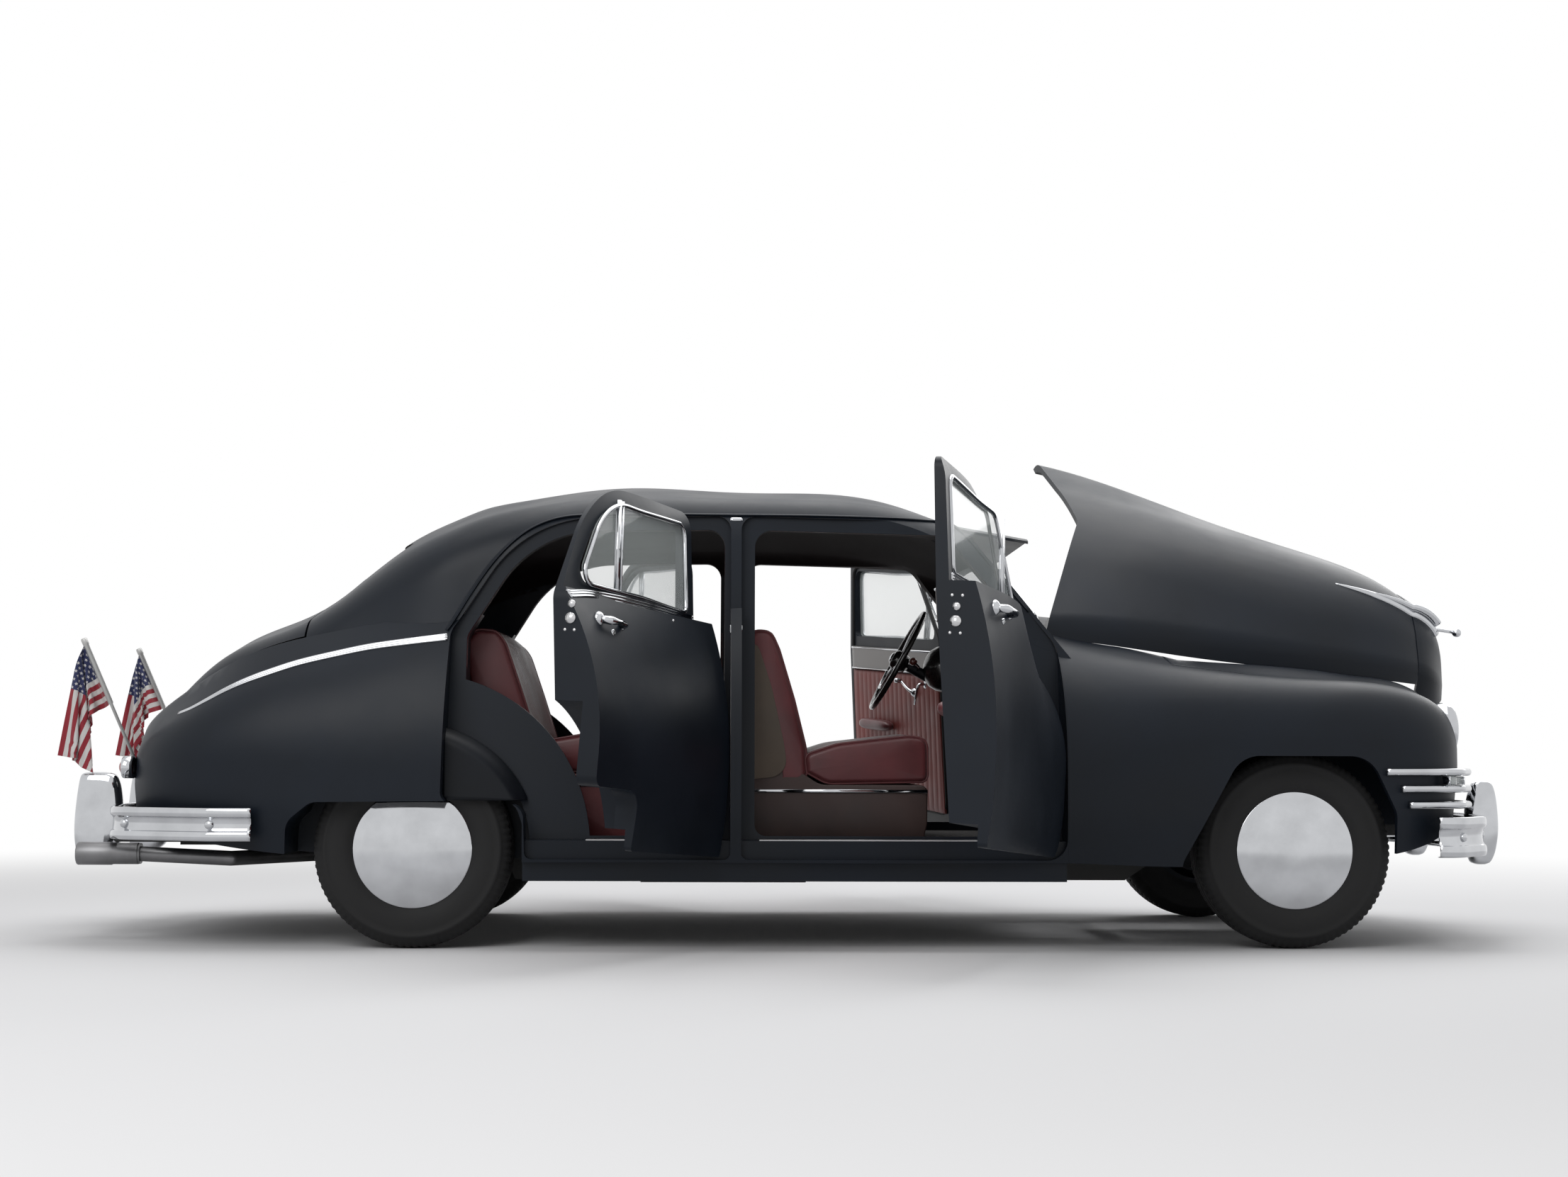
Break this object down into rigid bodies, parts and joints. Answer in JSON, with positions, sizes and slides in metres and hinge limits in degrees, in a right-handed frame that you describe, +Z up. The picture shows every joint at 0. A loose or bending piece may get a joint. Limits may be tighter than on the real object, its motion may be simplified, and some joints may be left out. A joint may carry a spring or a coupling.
{
  "type": "four-door sedan",
  "caption": "Low full-size late-1940s fastback sedan with sloping tail, long hood hinged at one side, enclosed rear wheels, wrapped bumpers with tall guards and a visor.",
  "frame": {"origin": "on the ground, under the middle of the whole car as it stands with doors and hood open", "axes": "+X forward, +Y to the car's left, +Z up"},
  "size_m": [5.2835, 4.0358, 1.8331],
  "materials": {
    "body_paint": "matte",
    "frame_paint": "satin",
    "chrome": "polished",
    "glass": "clear",
    "tyre": "matte",
    "cast_iron": "rough",
    "steel": "dull",
    "leather": "satin",
    "floor_carpet": "matte",
    "flag_cloth": "matte",
    "wheel_plastic": "gloss",
    "lens": "clear",
    "tail_lens": "clear"
  },
  "bodies": {
    "body": {"body_side_right": "body_paint", "body_side_left": "body_paint", "cowl": "body_paint", "roof": "body_paint", "windshield": "glass", "rear_window": "glass", "fender_front_right": "body_paint", "fender_front_left": "body_paint", "headlamps": "chrome", "nose_panel": "body_paint", "grille_bars": "chrome", "tail_panel": "body_paint", "floor": "floor_carpet", "frame": "frame_paint", "engine": "cast_iron", "radiator": "frame_paint", "front_suspension": "frame_paint", "rear_axle": "cast_iron", "exhaust": "steel", "front_bumper": "chrome", "rear_bumper": "chrome", "front_seat": "leather", "rear_seat": "leather", "dashboard": "body_paint", "steering_column": "frame_paint", "visor": "body_paint", "tail_lamps": "tail_lens", "plate_holder": "body_paint", "flag_poles": "steel", "flag_right": "flag_cloth", "flag_left": "flag_cloth"},
    "door_front_right": {"door_front_right": "body_paint", "glass_front_right": "glass"},
    "wheel_front_right": {"wheel_front_right": "body_paint", "tyre_front_right": "tyre"},
    "door_front_left": {"door_front_left": "body_paint", "glass_front_left": "glass"},
    "wheel_front_left": {"wheel_front_left": "body_paint", "tyre_front_left": "tyre"},
    "door_rear_right": {"door_rear_right": "body_paint", "glass_rear_right": "glass"},
    "wheel_rear_right": {"wheel_rear_right": "body_paint", "tyre_rear_right": "tyre"},
    "door_rear_left": {"door_rear_left": "body_paint", "glass_rear_left": "glass"},
    "wheel_rear_left": {"wheel_rear_left": "body_paint", "tyre_rear_left": "tyre"},
    "hood": {"hood": "body_paint"},
    "trunk_lid": {"trunk_lid": "body_paint"},
    "steering_wheel": {"steering_wheel": "wheel_plastic"},
    "knuckle_right": {"knuckle_right": "cast_iron"},
    "knuckle_left": {"knuckle_left": "cast_iron"}
  },
  "joints": [
    {"name": "door_front_right_hinge", "type": "hinge", "parent": "body", "child": "door_front_right", "pos_m": [0.942, -0.984, 0.58], "axis": [0, 0.0732, 0.9973], "range_deg": [-70, 3]},
    {"name": "door_front_left_hinge", "type": "hinge", "parent": "body", "child": "door_front_left", "pos_m": [0.942, 0.984, 0.58], "axis": [0, -0.0732, 0.9973], "range_deg": [-3, 70]},
    {"name": "door_rear_right_hinge", "type": "hinge", "parent": "body", "child": "door_rear_right", "pos_m": [-0.207, -0.984, 0.58], "axis": [0, 0.0732, 0.9973], "range_deg": [-66, 4]},
    {"name": "door_rear_left_hinge", "type": "hinge", "parent": "body", "child": "door_rear_left", "pos_m": [-0.207, 0.984, 0.58], "axis": [0, -0.0732, 0.9973], "range_deg": [-4, 66]},
    {"name": "hood_hinge", "type": "hinge", "parent": "body", "child": "hood", "pos_m": [1.122, -0.651, 1.04], "axis": [0.9873, 0.1049, -0.119], "range_deg": [-36.5, 3]},
    {"name": "trunk_lid_hinge", "type": "hinge", "parent": "body", "child": "trunk_lid", "pos_m": [-1.698, 0, 1.215], "axis": [0, 1, 0], "range_deg": [0, 60]},
    {"name": "knuckle_left_pivot", "type": "hinge", "parent": "body", "child": "knuckle_left", "pos_m": [1.766, 0.65, 0.34], "axis": [0, 0, 1], "range_deg": [-30, 30]},
    {"name": "knuckle_right_pivot", "type": "hinge", "parent": "body", "child": "knuckle_right", "pos_m": [1.766, -0.65, 0.34], "axis": [0, 0, 1], "range_deg": [-30, 30]},
    {"name": "steering_wheel_turn", "type": "hinge", "parent": "body", "child": "steering_wheel", "pos_m": [0.488, 0.35, 1.042], "axis": [-0.8755, 0, 0.4833], "range_deg": [-540, 540]},
    {"name": "wheel_front_right_spin", "type": "hinge", "parent": "knuckle_right", "child": "wheel_front_right", "pos_m": [1.766, -0.757, 0.34], "axis": [0, 1, 0], "continuous": true},
    {"name": "wheel_front_left_spin", "type": "hinge", "parent": "knuckle_left", "child": "wheel_front_left", "pos_m": [1.766, 0.757, 0.34], "axis": [0, 1, 0], "continuous": true},
    {"name": "wheel_rear_right_spin", "type": "hinge", "parent": "body", "child": "wheel_rear_right", "pos_m": [-1.282, -0.771, 0.34], "axis": [0, 1, 0], "continuous": true},
    {"name": "wheel_rear_left_spin", "type": "hinge", "parent": "body", "child": "wheel_rear_left", "pos_m": [-1.282, 0.771, 0.34], "axis": [0, 1, 0], "continuous": true}
  ],
  "couplings": [
    {"joint": "knuckle_right_pivot", "follows": "knuckle_left_pivot", "ratio": 1},
    {"joint": "steering_wheel_turn", "follows": "knuckle_left_pivot", "ratio": 18}
  ]
}
